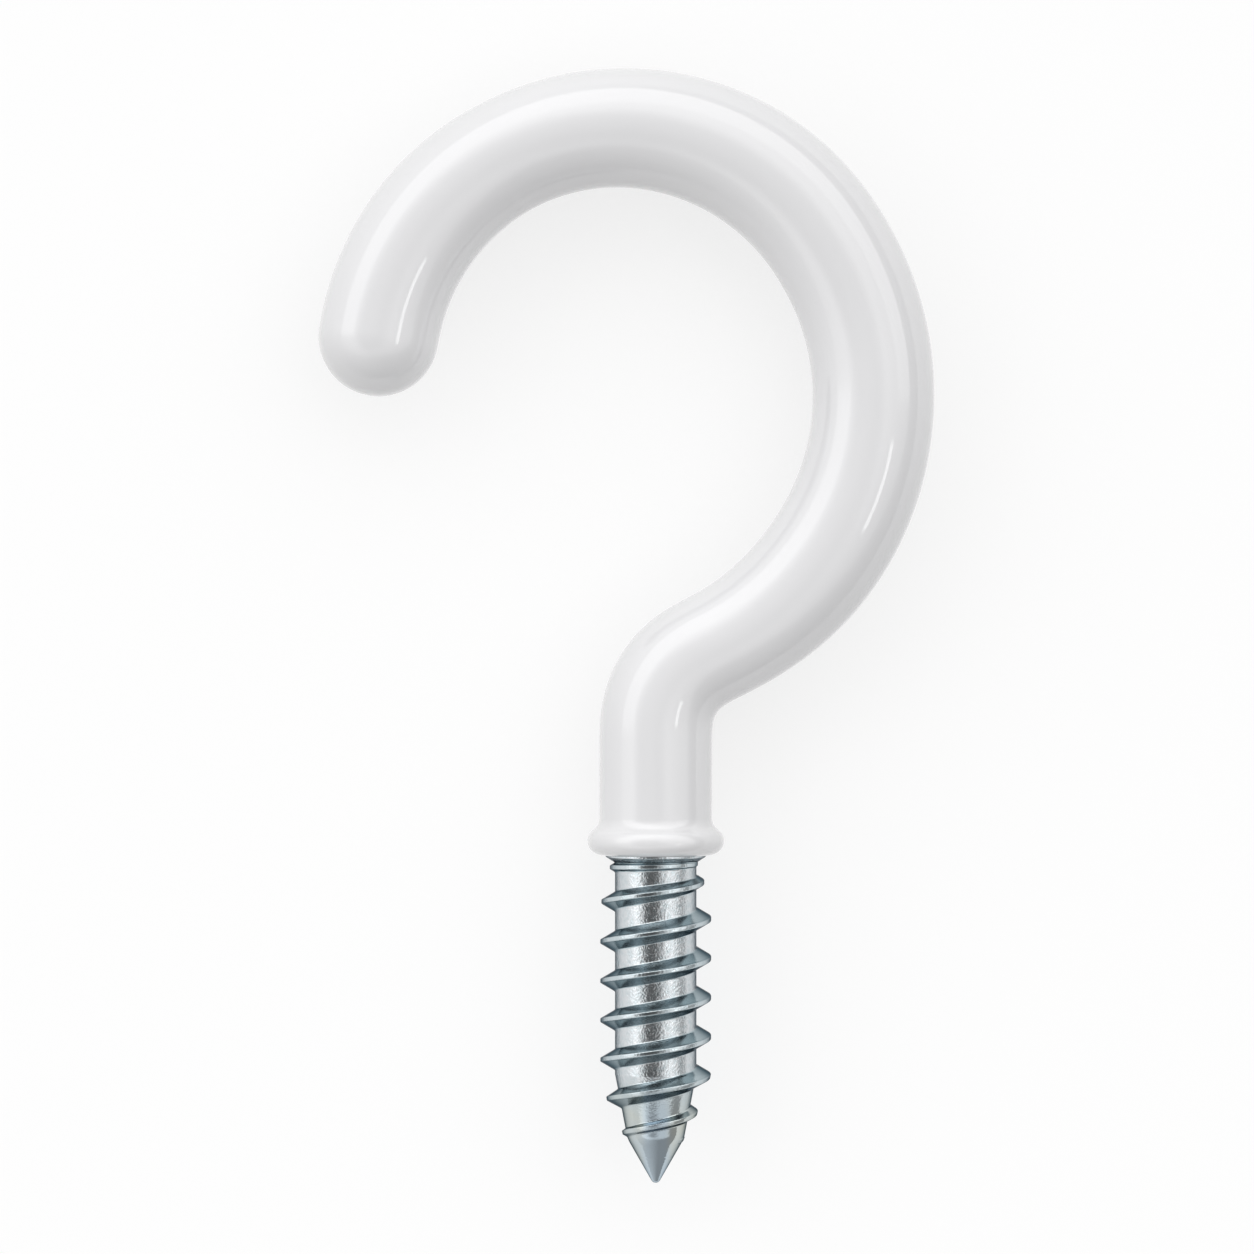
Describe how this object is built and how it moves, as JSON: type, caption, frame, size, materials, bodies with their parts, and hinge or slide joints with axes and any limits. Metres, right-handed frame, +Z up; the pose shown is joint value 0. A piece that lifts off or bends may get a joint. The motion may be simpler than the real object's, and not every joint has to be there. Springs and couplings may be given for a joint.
{
  "type": "screw hook",
  "caption": "Screw hook of bent steel wire with a wood thread and point, its stem and open round bow dipped in a white plastic coat that ends in a bead.",
  "frame": {"origin": "on the screw's axis, at the seating face of the coat's bead", "axes": "the hook lies on its side: +Z is up and square to the bow's plane, +Y runs along the screw's axis from the point to the bow, and the bow bulges towards +X, with its open end towards -X"},
  "size_m": [0.0333, 0.0601, 0.0074],
  "materials": {
    "zinc_plate": "bright zinc plate, faintly mottled",
    "white_coat": "high gloss dipped plastic"
  },
  "bodies": {
    "root": {"steel_hook": "zinc_plate", "plastic_sleeve": "white_coat"}
  },
  "joints": []
}
